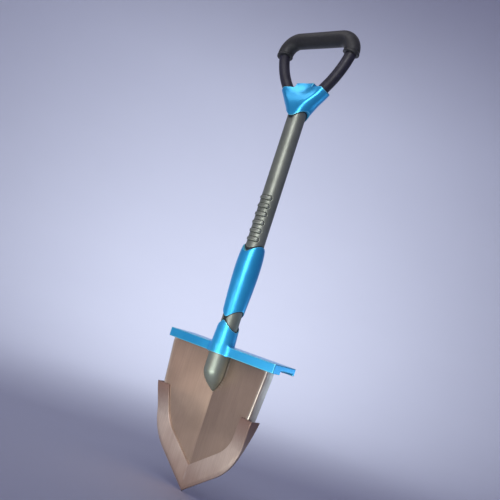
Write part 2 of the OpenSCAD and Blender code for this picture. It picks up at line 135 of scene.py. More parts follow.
YOKE_LOW = node_box("yoke")[0].z
YOKE_FOOT_R = node_box("yoke")[1].y
YOKE_ARCH_R = 16.2
MOUTH = np.array((34.84, 651.0))
ARM_R = 12.5

SCREW_HOLE_R = 3.35
SCREW_X = (-75, -35, 35, 75)
PLATE_SCREW_Z = 212
COLLAR_SCREW_Z = 240
YOKE_SCREW_Z = 611
ARM_SEAT_Y = 10.3
ARM_SCREWS = [(side * 30.15, 645) for side in (-1, 1)]


# ---- Materials ----


def shader_node(tree, kind, inputs=None, **settings):
    """A shader node whose inputs are set to values or linked to other nodes' outputs."""
    made = tree.nodes.new("ShaderNode" + kind)
    for key, value in settings.items():
        setattr(made, key, value)
    for key, value in (inputs or {}).items():
        if isinstance(value, bpy.types.NodeSocket):
            tree.links.new(value, made.inputs[key])
        else:
            made.inputs[key].default_value = value
    return made


def noise(tree, scale, detail=3, stretch=(1, 1, 1)):
    """Noise in the row frame, scale in 1/m, finer where stretch is large."""
    where = shader_node(tree, "TexCoord").outputs["Object"]
    where = shader_node(tree, "Mapping", {"Vector": where, "Scale": stretch}).outputs[0]
    made = shader_node(tree, "TexNoise", {"Vector": where, "Scale": scale, "Detail": detail})
    return made.outputs["Fac"]


def ranged(tree, fac, low, high, start=0.3, end=0.7):
    """Maps start..end of a factor to low..high."""
    inputs = {"Value": fac, "From Min": start, "From Max": end, "To Min": low, "To Max": high}
    return shader_node(tree, "MapRange", inputs).outputs[0]


def mixed(tree, fac, a, b):
    """Colour a where fac is 0 and b where it is 1."""
    made = shader_node(tree, "Mix", data_type="RGBA")
    for socket, value in zip((made.inputs[0], made.inputs[6], made.inputs[7]), (fac, a, b)):
        if isinstance(value, bpy.types.NodeSocket):
            tree.links.new(value, socket)
        else:
            socket.default_value = value if isinstance(value, float) else (*value, 1)
    return made.outputs[2]


def times(tree, a, b):
    """The product of two factors."""
    return shader_node(tree, "Math", {0: a, 1: b}, operation="MULTIPLY").outputs[0]


def edge_highlight_and_hollow_shade(tree, colour, wear_and_highlight, share, start=0.51, end=0.56, hollow_shade=0.8):
    """A colour that turns to the edge colour on outward edges, from start to end of Pointiness, as a painted
    highlight that on bare steel also stands for wear, and is darkened in hollows with painted shade."""
    point = shader_node(tree, "NewGeometry").outputs["Pointiness"]
    # Painted shade: hollows, where Pointiness is low, are darkened towards near black.
    depth = times(tree, ranged(tree, point, 1, 0, 0.42, 0.485), hollow_shade)
    colour = mixed(tree, depth, colour, (0.01, 0.012, 0.014))
    # Painted highlight: outward edges are lightened towards the edge colour, on bare steel also wear.
    return mixed(tree, times(tree, ranged(tree, point, 0, 1, start, end), share), colour, wear_and_highlight)


def material(name, colour, rough, bumps, **constants):
    """A Principled material. colour, rough and each (height, strength) in bumps are made in its tree."""
    made = bpy.data.materials.new(name)
    made.use_nodes = True
    tree = made.node_tree
    shader = tree.nodes["Principled BSDF"]
    for key, value in constants.items():
        shader.inputs[key.replace("_", " ")].default_value = value
    tree.links.new(colour(tree), shader.inputs["Base Color"])
    tree.links.new(rough(tree), shader.inputs["Roughness"])
    normal = None
    for height, distance in bumps:
        inputs = {"Height": height(tree), "Distance": distance * MM, "Strength": 1.0}
        if normal:
            inputs["Normal"] = normal
        normal = shader_node(tree, "Bump", inputs).outputs[0]
    tree.links.new(normal, shader.inputs["Normal"])
    return made


def azure_moulding():
    """Glossy pearl blue, with a painted highlight along its edges and painted shade in its hollows."""
    def colour(tree):
        base = mixed(tree, ranged(tree, noise(tree, 22, 4), 0, 1), (0.036, 0.44, 0.86), (0.050, 0.52, 0.96))
        # The pale cyan is a painted edge highlight; the hollows get the default painted shade.
        return edge_highlight_and_hollow_shade(tree, base, (0.25, 0.88, 1.0), 0.9)

    return material(
        "azure_moulding", colour,
        lambda tree: ranged(tree, noise(tree, 260, 5), 0.30, 0.38),
        [(lambda tree: noise(tree, 900, 2), 0.02), (lambda tree: noise(tree, 60, 2), 0.10)],
        Metallic=0.68, Coat_Weight=0.25, Coat_Roughness=0.22,
    )


def blade_metal(name, light, dark, rough, top, foot, wear_and_highlight, hollow_shade):
    """Brushed sheet steel, lighter between top and foot and darker beyond them, each a (dark, light) pair of
    heights in metres. The second-last value is the range of Pointiness over which its edges are lightened
    with a painted highlight that also stands for wear; the last is how strongly its hollows are darkened
    with painted shade."""
    def colour(tree):
        where = shader_node(tree, "TexCoord").outputs["Object"]
        height = shader_node(tree, "SeparateXYZ", {"Vector": where}).outputs["Z"]
        # Painted shade by height: on the blade, darker above top, the shade under the foot plate; on the
        # band, darker towards its top and its point.
        height_tone = times(tree, ranged(tree, height, 0, 1, *top), ranged(tree, height, 0.25, 1, *foot))
        cloud = times(tree, height_tone, ranged(tree, noise(tree, 14, 3), 0.55, 1, 0.38, 0.62))
        grain = ranged(tree, noise(tree, 700, 4, (1, 1, 0.03)), 0, 1)
        base = mixed(tree, cloud, dark, light)
        base = mixed(tree, times(tree, grain, 0.25), base, tuple(0.8 * c for c in dark))
        # Painted highlight on outward edges, partly wear, and painted shade in hollows.
        return edge_highlight_and_hollow_shade(tree, base, (1.0, 0.95, 0.90), 0.9, *wear_and_highlight, hollow_shade)

    def roughness(tree):
        return ranged(tree, noise(tree, 420, 5, (1, 1, 0.04)), rough - 0.06, rough + 0.08)

    return material(
        name, colour, roughness,
        [
            (lambda tree: noise(tree, 900, 3, (1, 1, 0.02)), 0.03),
            (lambda tree: noise(tree, 25, 2), 0.25),
        ],
        Metallic=0.6,
    )


def olive_metal():
    """A satin olive-grey coating with fine light specks, a painted highlight on its outward edges and
    painted shade in its hollows, as in the grooves round the thumb ribs.
    """
    def colour(tree):
        base = mixed(tree, ranged(tree, noise(tree, 30, 4), 0, 1), (0.21, 0.225, 0.19), (0.28, 0.295, 0.255))
        specks = ranged(tree, noise(tree, 1500, 2), 0, 1, 0.62, 0.72)
        base = mixed(tree, times(tree, specks, 0.35), base, (0.42, 0.42, 0.38))
        # The pale grey is a painted edge highlight; the near black in hollows is painted shade.
        return edge_highlight_and_hollow_shade(tree, base, (0.80, 0.82, 0.78), 0.6, 0.525, 0.58, 0.95)

    return material(
        "olive_metal", colour,
        lambda tree: ranged(tree, noise(tree, 500, 4), 0.38, 0.46),
        [(lambda tree: noise(tree, 1400, 2), 0.03)],
        Metallic=0.65, Specular_IOR_Level=0.3,
    )


def rubber(name, light, dark, low, high, sheen):
    """A dark surface with slight, lighter wear, whose roughness runs from low to high."""
    def colour(tree):
        base = mixed(tree, ranged(tree, noise(tree, 45, 5), 0, 1), dark, light)
        wear_and_highlight = ranged(tree, noise(tree, 180, 6), 0, 1, 0.60, 0.72)
        return mixed(tree, times(tree, wear_and_highlight, 0.3), base, tuple(2.2 * c for c in light))

    return material(
        name, colour,
        lambda tree: ranged(tree, noise(tree, 300, 4), low, high),
        [(lambda tree: noise(tree, 1800, 2), 0.05), (lambda tree: noise(tree, 120, 3), 0.10)],
        Sheen_Weight=sheen, Sheen_Roughness=0.4,
    )


def zinc(name):
    """Mottled zinc plating, or drawn alloy."""
    def colour(tree):
        return mixed(tree, ranged(tree, noise(tree, 300, 4), 0, 1), (0.42, 0.43, 0.44), (0.62, 0.63, 0.64))

    return material(
        name, colour,
        lambda tree: ranged(tree, noise(tree, 900, 4), 0.25, 0.42),
        [(lambda tree: noise(tree, 2500, 2), 0.02)],
        Metallic=1.0,
    )


MATERIALS = {
    "azure_moulding": azure_moulding(),
    "blade_steel": blade_metal(
        "blade_steel", (0.355, 0.245, 0.192), (0.205, 0.14, 0.11), rough=0.38,
        # The blade darkens near the foot plate with painted shade; its edges get a painted highlight and its
        # hollows painted shade.
        top=(0.24, 0.18), foot=(-1, 0), wear_and_highlight=(0.51, 0.56), hollow_shade=0.8,
    ),
    "edge_steel": blade_metal(
        "edge_steel", (0.62, 0.48, 0.41), (0.28, 0.165, 0.132), rough=0.36,
        # The band darkens towards its top and its point; its edges get a painted highlight and its hollows a
        # little painted shade.
        top=(0.135, 0.09), foot=(0.005, 0.06), wear_and_highlight=(0.503, 0.53), hollow_shade=0.15,
    ),
    "olive_metal": olive_metal(),
    "black_tube": rubber("black_tube", (0.022, 0.020, 0.034), (0.012, 0.011, 0.020), 0.42, 0.55, 0.05),
    "grip_rubber": rubber("grip_rubber", (0.020, 0.020, 0.023), (0.013, 0.013, 0.015), 0.50, 0.62, 0.15),
    "seal_rubber": rubber("seal_rubber", (0.010, 0.016, 0.020), (0.006, 0.010, 0.012), 0.5, 0.6, 0.1),
    "black_plastic": rubber("black_plastic", (0.022, 0.022, 0.024), (0.014, 0.014, 0.016), 0.4, 0.5, 0.0),
    "core_alloy": zinc("core_alloy"),
    "zinc": zinc("zinc"),
}

for subpart in frame["record"]["subparts"]:
    node = NODES[subpart["node"]]
    node.data.materials.clear()
    node.data.materials.append(MATERIALS[subpart["material_slot"]])


# ---- Building meshes ----


def place(points):
    """Points in millimetres from the shaft's axis, as points of the frame in metres."""
    return np.asarray(points, float) * MM + (0, AXIS_Y, 0)


def add_piece(name, points, faces, slot, replaces, normals=None):
    """A smooth piece of the shovel with its material. It rides on the one body."""
    mesh = bpy.data.meshes.new(name)
    mesh.from_pydata(place(points).tolist(), [], [list(map(int, face)) for face in faces])
    mesh.validate()
    mesh.shade_smooth()
    made = bpy.data.objects.new(name, mesh)
    bpy.context.scene.collection.objects.link(made)
    mesh.materials.append(MATERIALS[slot])
    if normals is not None:
        mesh.normals_split_custom_set_from_vertices(normals.tolist())
    else:
        mesh.set_sharp_from_angle(angle=math.radians(40))
        made.modifiers.new("weighted", "WEIGHTED_NORMAL").keep_sharp = True
    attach(made, "root")
    for node_name in replaces:
        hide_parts(node_name)
    return made


def add_solid(name, field, low, high, cell, slot, replaces):
    """A piece made from a field, lit by the field's own normals."""
    points, faces, normals = surface(field, low, high, cell)
    return add_piece(name, points, faces, slot, replaces, normals)


def skin(rings, capped=True):
    """Points and faces of a closed surface through rings of points. Without caps the last ring joins the
    first."""
    rings = np.asarray(rings, float)
    count, size = rings.shape[:2]
    last = count - 1 if capped else count
    faces = []
    for i in range(last):
        a, b = i * size, (i + 1) % count * size
        for j in range(size):
            k = (j + 1) % size
            faces.append((a + j, a + k, b + k, b + j))
    if capped:
        faces.append(range(size - 1, -1, -1))
        faces.append(range((count - 1) * size, count * size))
    return rings.reshape(-1, 3), faces


def turned(profile, segments=128):
    """Rings of a turned shape, whose profile is a closed list of (radius, height)."""
    angles = np.linspace(0, 2 * math.pi, segments, endpoint=False)
    return [[(r * math.cos(a), r * math.sin(a), z) for r, z in profile] for a in angles]


def swept(path, radii, sides=48, inner=None):
    """Rings of a round bar along a path in the XZ plane. With inner it is a tube of that inner radius."""
    path = np.asarray(path, float)
    along = np.gradient(path, axis=0)
    along /= np.linalg.norm(along, axis=1)[:, None]
    rings = []
    for point, direction, r in zip(path, along, radii):
        across = np.cross(direction, (0, 1, 0))
        turn = np.linspace(0, 2 * math.pi, sides, endpoint=False)
        rings.append(point + r * (np.outer(np.cos(turn), across) + np.outer(np.sin(turn), (0, 1, 0))))
    if inner is not None:
        bore = [p + (ring - p) * (inner / r) for p, ring, r in zip(path, rings, radii)]
        return rings + bore[::-1]
    return rings


# ---- Blended shapes: fields of signed distance, meshed by surface nets ----


def join(a, b, r):
    """The union of two fields, with a hollow fillet about r wide."""
    h = np.maximum(r - np.abs(a - b), 0) / r
    return np.minimum(a, b) - h * h * r / 4


def both(a, b, r):
    """What two fields share, with its edges rounded about r wide."""
    return -join(-a, -b, r)


def minus(a, b, r):
    return both(a, -b, r)


def block(p, low, high, r):
    """A box from low to high with rounded edges."""
    low, high = np.array(low, float), np.array(high, float)
    q = [np.abs(c - m) - h + r for c, m, h in zip(p, (low + high) / 2, (high - low) / 2)]
    outside = np.sqrt(sum(np.maximum(c, 0) ** 2 for c in q))
    return outside + np.minimum(np.maximum(np.maximum(q[0], q[1]), q[2]), 0) - r


def gradient(field, points, step):
    moves = np.eye(3) * step
    return np.stack([(field((points + m).T) - field((points - m).T)) / (2 * step) for m in moves], 1)


def surface(field, low, high, cell, soft=0.25):
    """Points, faces and normals of a field's zero surface. soft is how far normals are averaged."""
    axes = [np.arange(a - 2 * cell, b + 3 * cell, cell) for a, b in zip(low, high)]
    value = field(np.meshgrid(*axes, indexing="ij"))
    counts = np.array(value.shape) - 1
    corners = list(itertools.product((0, 1), repeat=3))

    def at(corner):
        return value[tuple(slice(c, c + n) for c, n in zip(corner, counts))]

    inner = sum((at(c) < 0).astype(int) for c in corners)
    active = (inner > 0) & (inner < 8)
    index = np.full(active.shape, -1)
    index[active] = np.arange(active.sum())
    total, hits = np.zeros((active.sum(), 3)), np.zeros(active.sum())
    for corner in corners:
        for axis in range(3):
            if corner[axis]:
                continue
            end = np.array(corner)
            end[axis] = 1
            a, b = at(corner)[active], at(end)[active]
            crossed = (a < 0) != (b < 0)
            share = np.where(crossed, a / np.where(crossed, a - b, 1), 0)
            spot = np.array(corner) + share[:, None] * np.eye(3)[axis]
            total += spot * crossed[:, None]
            hits += crossed
    origin = np.array([axis[0] for axis in axes])
    points = origin + (np.argwhere(active) + total / hits[:, None]) * cell
    for _ in range(3):
        slope = gradient(field, points, 0.05 * cell)
        steepness = np.maximum((slope ** 2).sum(1), 0.05)
        move = (field(points.T) / steepness)[:, None] * slope
        points -= np.clip(move, -0.5 * cell, 0.5 * cell)
    faces = []
    for axis in range(3):
        u, v = (axis + 1) % 3, (axis + 2) % 3
        before = [slice(None)] * 3
        after = [slice(None)] * 3
        before[axis], after[axis] = slice(0, -1), slice(1, None)
        inside = value < 0
        spots = np.argwhere(inside[tuple(before)] != inside[tuple(after)])
        spots = spots[(spots[:, u] > 0) & (spots[:, v] > 0) & (spots < counts).all(1)]
        back_u, back_v = np.eye(3, dtype=int)[u], np.eye(3, dtype=int)[v]
        shifts = (back_u + back_v, back_v, 0 * back_u, back_u)
        quads = np.stack([index[tuple((spots - shift).T)] for shift in shifts], 1)
        flipped = ~inside[tuple(spots.T)]
        quads[flipped] = quads[flipped][:, ::-1]
        faces += quads.tolist()
    normals = gradient(field, points, soft)
    normals /= np.linalg.norm(normals, axis=1)[:, None]
    return points, faces, normals


# ---- Blade and cutting edge ----


def ease(u):
    """A smooth step from 0 to 1."""
    u = np.clip(u, 0, 1)
    return u * u * (3 - 2 * u)


def valley_slope(z):
    """How steep the blade's valley is: steep at the top, flatter near the point."""
    return VALLEY_LOW + (VALLEY_HIGH - VALLEY_LOW) * ease((z - 85) / 55)


def face_y(x, z):
    """The blade's front face."""
    return CREASE_Y - valley_slope(z) * np.abs(x)


def sheet_back(x, z):
    """The blade's back face, one sheet behind the front."""
    return face_y(x, z) + SHEET * (1 + valley_slope(z))


def flange_y(x, z):
    """How far back the side flanges reach. They run out near the shoulders."""
    back = sheet_back(x, z) + 0.05
    return back + (face_y(x, z) + FLANGE - back) * ease((z - 80) / 57)


def rounded_side(start, shoulder_x, radius, top, straight, turn, upper):
    """Points up one side of the point: a straight edge from start to shoulder_x, a round shoulder of that
    radius, then a leaning side up to top. The last three values are how many points each stretch has."""
    start = np.array(start, float)
    low = np.array((shoulder_x, start[1] + (shoulder_x - start[0]) * math.tan(POINT_ANGLE)))
    centre = low + radius * np.array((-math.sin(POINT_ANGLE), math.cos(POINT_ANGLE)))
    angles = np.linspace(POINT_ANGLE, SIDE_ANGLE, turn)
    arc = centre + radius * np.stack((np.sin(angles), -np.cos(angles)), 1)
    end = arc[-1] + np.array((1 / math.tan(SIDE_ANGLE), 1)) * (top - arc[-1][1])
    return np.concatenate((
        np.linspace(start, low, straight, endpoint=False), arc,
        np.linspace(arc[-1], end, upper + 1)[1:],
    ))


def blade():
    """The folded sheet, built up from level sections, with a slot for the socket."""
    point = (0.5, SHEET / math.cos(POINT_ANGLE))
    outline = list(rounded_side(point, INNER_SHOULDER_X, SHOULDER_R - SHEET, 132, 22, 22, 8))
    w0, z0 = outline[-1]
    outline += [
        (w0 + (BLADE_HALF - w0) * min(1, u * 1.15), z0 + (BLADE_TOP - z0) * u)
        for u in np.linspace(0, 1, 22)[1:]
    ]
    spread = np.array((0, 0.9, 6, 20, 45, 70, 88)) / 97
    fold = np.radians((90, 75, 60, 45, 30, 15, 0))
    rings = []
    for w, z in outline:
        wide = max(w, 8)
        centre = (wide - 2 * FOLD_R, face_y(wide - FOLD_R, z) + 2 * FOLD_R)
        rear = max(flange_y(wide, z), centre[1] + 0.02)
        outer = [(centre[0] + 2 * FOLD_R * math.cos(a), centre[1] - 2 * FOLD_R * math.sin(a)) for a in fold]
        flats = spread * wide
        front = [(x, face_y(x, z)) for x in flats[flats < centre[0] - 1]]
        front += [(centre[0] - 0.6, face_y(centre[0] - 0.6, z))] * (len(flats) - len(front))
        side = outer + [(wide, rear - 0.7), (wide - 0.2, rear - 0.2), (wide - 0.7, rear)]
        side += [(wide - SHEET + 0.7, rear), (wide - SHEET + 0.2, rear - 0.2)]
        inner_y = sheet_back(wide - SHEET, z)
        side += [(wide - SHEET, min(rear - 0.3, inner_y + 1.2)), (wide - SHEET - 0.8, min(rear, inner_y))]
        back = [(x, sheet_back(x, z)) for x, _ in reversed(front[1:])] + [(0, sheet_back(0, z))]
        half = front[1:] + side + back[:-1]
        ring = [front[0]] + half + [back[-1]] + [(-x, y) for x, y in reversed(half)]
        squeeze = w / wide
        rings.append([(x * squeeze, y, z) for x, y in ring])
    points, faces = skin(np.array(rings))
    sheet = add_piece("blade_sheet", points, faces, "blade_steel", ["blade"])
    cutter_points, cutter_faces, _ = surface(lambda p: socket_body(p) - 0.15, *SOCKET_SPAN, cell=1.3)
    mesh = bpy.data.meshes.new("slot_cutter")
    mesh.from_pydata(place(cutter_points).tolist(), [], cutter_faces)
    cutter = bpy.data.objects.new("slot_cutter", mesh)
    bpy.context.scene.collection.objects.link(cutter)
    slot = sheet.modifiers.new("slot", "BOOLEAN")
    slot.operation, slot.object, slot.solver = "DIFFERENCE", cutter, "EXACT"
    sheet.modifiers.move(1, 0)
    with bpy.context.temp_override(object=sheet):
        bpy.ops.object.modifier_apply(modifier="slot")
    bpy.data.objects.remove(cutter)


def cutting_edge():
    """The hardened band: one section carried from the top of one side, round the point, to the other top."""
    steps = (16, 18, 12)
    outer = rounded_side((0, 0), SHOULDER_X, SHOULDER_R, EDGE_TOP, *steps)
    inner = rounded_side((0, INNER_APEX_Z), INNER_SHOULDER_X, INNER_SHOULDER_R, EDGE_TOP, *steps)
    thick, lip, fold = SHEET, 0.5, 1.5
    rings = []
    for start, end in zip(inner, outer):
        width = np.linalg.norm(end - start)
        across = (end - start) / width
        ground = 1 - ease((end[1] - 45) / 50)

        def spot(d, back):
            x, z = start + across * d
            return (x, face_y(x, z) - thick + back, z)

        x, z = end
        rear = flange_y(x, z) - face_y(x, z) + thick
        section = [spot(0, thick), spot(0, lip)]
        section += [spot(lip * (1 - math.cos(a)), lip * (1 - math.sin(a))) for a in np.radians((30, 60, 90))]
        for share in (0.15, 0.35, 0.55, 0.72):
            section.append(spot(width * share, 0))
        for share in (0.0, 0.35, 0.7):
            section.append(spot(width - 6 + (6 - fold) * share, ground * 1.4 * share))
        nose = ground * 1.6
        section += [
            spot(width - fold + fold * math.sin(a), nose + fold * (1 - math.cos(a)))
            for a in np.radians((0, 25, 50, 75, 90))
        ]
        rear = max(rear, nose + fold + 0.6)
        section += [spot(width, rear - 0.5), spot(width - 0.15, rear - 0.15), spot(width - 0.5, rear)]
        section += [spot(width - SHEET + 0.3, rear), spot(width - SHEET, rear - 0.3)]
        section += [spot(width - SHEET, thick + 0.4), spot(width - SHEET - 0.4, thick)]
        section.append(spot(width * 0.5, thick))
        rings.append(section)
    right = np.array(rings)
    left = right[:0:-1] * (-1, 1, 1)
    points, faces = skin(np.concatenate((left, right))[::-1])
    add_piece("cutting_edge_band", points, faces, "edge_steel", ["cutting_edge"])


# ---- Socket, shaft and its ribs ----

SOCKET_SPAN = ((-SOCKET_R, -SOCKET_R, SOCKET_TIP - 2), (SOCKET_R, SOCKET_R, SOCKET_TOP))


def socket_body(p):
    """A round post whose nose leans back and narrows to a point on the blade's crease."""
    x, y, z = p
    post = np.hypot(x, y) - SOCKET_R
    size = 1 - np.clip(1 - (z - SOCKET_TIP) / NOSE_H, 0, 1.2) ** 1.9
    nose = (np.hypot(x, y - CREASE_Y * (1 - size)) - SOCKET_R * size) * 0.75
    return both(np.maximum(post, nose), z - SOCKET_TOP, 1.5)


def socket():
    """The post that the shaft stands in."""
    def field(p):
        x, y, z = p
        bore = np.maximum(np.hypot(x, y) - SHAFT_R, SHAFT_LOW - z)
        return minus(socket_body(p), bore, 0.6)

    add_solid("socket_post", field, *SOCKET_SPAN, 0.8, "olive_metal", ["blade_socket"])


def rippled_welds():
    """Weld beads along both sides of the slot in the blade's back."""
    low, high = node_box("socket_welds")
    for side in (-1, 1):
        z = np.linspace(low.z, high.z, 90)
        ripple = 1.9 + 0.28 * np.abs(np.sin(z * 1.35)) + 0.12 * np.sin(z * 0.41)
        ends = np.sqrt(np.clip(np.minimum(z - z[0], z[-1] - z) / 2.5, 0.01, 1))
        path = np.stack((np.full_like(z, side * WELD_X), np.full_like(z, CREASE_Y + SHEET - 0.4), z), 1)
        points, faces = skin(swept(path, ripple * ends, 20))
        add_piece("weld_bead_" + ("right" if side > 0 else "left"), points, faces, "edge_steel",
                  ["socket_welds"] if side > 0 else [])


def rib_heights():
    """The heights of the thumb ribs' middles."""
    low, high = node_box("thumb_ribs")
    return np.linspace(low.z + RIB_W / 2, high.z - RIB_W / 2, RIB_COUNT)


def shaft():
    """The shaft tube, with its wall and softened ends, pressed in a little around each rib."""
    r, bore, edge = SHAFT_R, SHAFT_R - SHAFT_WALL, 0.5
    ribs = rib_heights()
    profile = [(bore, SHAFT_LOW), (r - edge, SHAFT_LOW), (r, SHAFT_LOW + edge)]
    profile += [(r, z) for z in np.linspace(SHAFT_LOW + 20, ribs[0] - 12, 14)]
    profile += [(r, z) for z in np.arange(ribs[0] - 7, ribs[-1] + 7, 0.35)]
    profile += [(r, z) for z in np.linspace(ribs[-1] + 12, SHAFT_HIGH - 20, 12)]
    profile += [(r, SHAFT_HIGH - edge), (r - edge, SHAFT_HIGH), (bore, SHAFT_HIGH)]
    points, faces = skin(turned(profile[::-1], 256), capped=False)
    points = np.asarray(points, float)
    x, y, z = points.T
    along = np.abs(np.arctan2(x, -y)) * SHAFT_R - (RIB_SPAN / 2 * SHAFT_R - RIB_W / 2)
    across = np.min(np.abs(z[:, None] - ribs), 1)
    away = np.hypot(np.clip(along, 0, None), across) - RIB_W / 2
    press = 1.1 * np.exp(-((away - 0.4) / 0.7) ** 2) * (np.hypot(x, y) > r - 0.01)
    points[:, :2] *= (1 - press / r)[:, None]
    add_piece("shaft_pipe", points, faces, "olive_metal", ["shaft_tube"])


def thumb_ribs():
    """Rounded ribs across the shaft's front, each a bar that wraps round the tube."""
    half_w, tall = RIB_W / 2, 2.5
    reach = -node_box("thumb_ribs")[0].y + 0.4 - tall
    for i, z in enumerate(rib_heights()):
        rings = []
        for u in np.linspace(-1, 1, 41):
            a = math.pi / 2 + u * RIB_SPAN / 2
            left = (1 - abs(u)) * RIB_SPAN / 2 * reach
            size = math.sqrt(max(1 - (1 - min(left / half_w, 1)) ** 2, 0.0004))
            turn = np.linspace(0, 2 * math.pi, 24, endpoint=False)
            square = np.maximum(np.abs(np.cos(turn)), np.abs(np.sin(turn))) ** -0.4
            radius = reach + tall * size * square * np.cos(turn)
            height = z + half_w * size * square * np.sin(turn)
            rings.append(np.stack((radius * math.cos(a), -radius * math.sin(a), height), 1))
        points, faces = skin(rings)
        add_piece(f"thumb_rib_{i + 1}", points, faces, "olive_metal", ["thumb_ribs"] if i == 0 else [])


# ---- Sleeve, seals, collar and foot plate ----


def sleeve_radius(z):
    """The sleeve's radius, which swells between its ends."""
    t = np.clip((SLEEVE_TOP - z) / (SLEEVE_TOP - WAIST_Z), 0, 1)
    return SLEEVE_END_R + SLEEVE_SWELL * np.sin(math.pi * t ** 0.6)


def arch(centre, r, x_angle, radius):
    """Height over the side of a round arch seen from the side, at an angle round the shaft."""
    depth = radius * math.sin(x_angle)
    return centre + math.sqrt(max(r * r - depth * depth, 0))


def sleeve():
    """The waisted shell: its ends are round when seen from the side, and its edges are softened."""
    dome_z = SLEEVE_TOP - SLEEVE_DOME_R
    edge, bore = 0.6, SHAFT_R + 0.05
    rings = []
    for a in np.linspace(0, 2 * math.pi, 144, endpoint=False):
        top = arch(dome_z, SLEEVE_DOME_R, a, SLEEVE_END_R)
        low = arch(WAIST_Z, WAIST_R, a, SLEEVE_END_R)
        profile = [(bore, low)] + [
            (sleeve_radius(low) - edge * (1 - math.sin(t)), low + edge * (1 - math.cos(t)))
            for t in np.radians((0, 30, 60, 90))
        ]
        profile += [(sleeve_radius(z), z) for z in np.linspace(low + 2 * edge, top - 2 * edge, 52)]
        profile += [
            (sleeve_radius(top) - edge * (1 - math.cos(t)), top - edge * (1 - math.sin(t)))
            for t in np.radians((0, 30, 60, 90))
        ]
        profile.append((bore, top))
        rings.append([(r * math.cos(a), r * math.sin(a), z) for r, z in profile])
    points, faces = skin(np.array(rings)[:, ::-1], capped=False)
    add_piece("sleeve_shell", points, faces, "azure_moulding", ["lower_sleeve"])


def foot_plate():
    """The moulded tread with its stepped edge, ribs underneath, and the collar that holds the shaft."""
    low, high = (-PLATE_HALF, BAR_FRONT - 12, PLATE_LOW), (PLATE_HALF, TREAD_BACK, WAIST_Z)

    def field(p):
        x, y, z = p
        wide = np.abs(x)
        q = (wide, y, z)
        bar = block(q, (-PLATE_HALF, BAR_FRONT, PLATE_LOW), (PLATE_HALF, BAR_BACK, PLATE_HIGH), 1.1)
        tread = block(q, (-PLATE_HALF, 0, PLATE_HIGH - TREAD_T), (PLATE_HALF, TREAD_BACK, PLATE_HIGH), 1.1)
        rim = block(q, (-PLATE_HALF, TREAD_BACK - RIM_T, PLATE_HIGH - RIM_H),
                    (PLATE_HALF, TREAD_BACK, PLATE_HIGH), 1.1)
        body = join(join(bar, tread, 1.5), rim, 1.5)
        for web in WEB_X:
            rib = block(q, (web, 2, PLATE_HIGH - RIM_H), (web + 3, TREAD_BACK - 1, PLATE_HIGH - 1), 0.8)
            body = join(body, rib, 1.5)
        limits = block(q, (-PLATE_HALF, BAR_FRONT, PLATE_LOW), (PLATE_HALF, TREAD_BACK, PLATE_HIGH), 1.1)
        body = np.maximum(body, limits)
        radius = np.hypot(x, y)
        share = np.clip((z - PLATE_HIGH) / (WAIST_Z - PLATE_HIGH), 0, 1)
        cone = radius - (COLLAR_R + (COLLAR_TOP_R - COLLAR_R) * share)
        cone = both(both(cone, PLATE_LOW - z, 1.5), z - WAIST_Z, 0.5)
        body = join(body, cone, 6.0 - 2.5 * ease((y + 8) / 10))
        window = np.hypot(y, z - WAIST_Z) - WAIST_R
        body = minus(body, window, 0.8)
        bore = np.hypot(x, y) - np.where(z < SOCKET_TOP, SOCKET_R, SHAFT_R) - 0.05
        body = minus(body, bore, 0.4)
        groove = np.maximum(np.abs(y - (face_y(x, z) + 1.3)) - 1.5, z - BLADE_TOP - 0.1)
        groove = np.maximum(groove, wide - BLADE_HALF - 0.15)
        side = np.maximum(np.abs(wide - BLADE_HALF + 1.2) - 1.35, np.maximum(z - BLADE_TOP - 0.1, y - 12.6))
        side = np.maximum(side, face_y(x, z) - y)
        body = minus(body, np.minimum(groove, side), 0.3)
        for cx in SCREW_X:
            hole = np.hypot(x - cx, z - PLATE_SCREW_Z) - SCREW_HOLE_R
            body = minus(body, np.maximum(hole, BAR_BACK - 1 - y), 0.4)
        hole = np.hypot(x, z - COLLAR_SCREW_Z) - SCREW_HOLE_R
        return minus(body, np.maximum(hole, 15.2 - y), 0.4)

    add_solid("foot_plate_moulding", field, low, high, 0.85, "azure_moulding", ["foot_plate"])


def rubber_lip(name, centre, r_out, r_in, upper, replaced):
    """A thin rubber lip that follows a moulding's arched edge round the shaft."""
    rings = []
    inner, outer = SHAFT_R - 0.1, SHAFT_R + 0.9
    sign = 1 if upper else -1
    for a in np.linspace(0, 2 * math.pi, 144, endpoint=False):
        profile = []
        for r, arch_r, drop in (
            (inner, r_in, 0), (outer - 0.4, r_in, 0), (outer - 0.1, r_in, 0.12), (outer, r_in, 0.4),
            (outer, r_out, -0.4), (outer - 0.1, r_out, -0.12), (outer - 0.4, r_out, 0), (inner, r_out, 0),
        ):
            depth = r * math.sin(a)
            height = math.sqrt(max(arch_r * arch_r - depth * depth, 0)) + drop
            profile.append((r * math.cos(a), depth, centre + sign * height))
        rings.append(profile if upper else profile[::-1])
    points, faces = skin(np.array(rings)[:, ::-1], capped=False)
    add_piece(name, points, faces, "seal_rubber", [replaced])


# ---- Yoke and D-handle ----


def beside_line(p, side, start, lean):
    """How far points lie beyond start along a line that leans outwards, and how far outside that line."""
    x, z = side * p[0] - start[0], p[2] - start[1]
    return x * math.sin(lean) + z * math.cos(lean), x * math.cos(lean) - z * math.sin(lean)


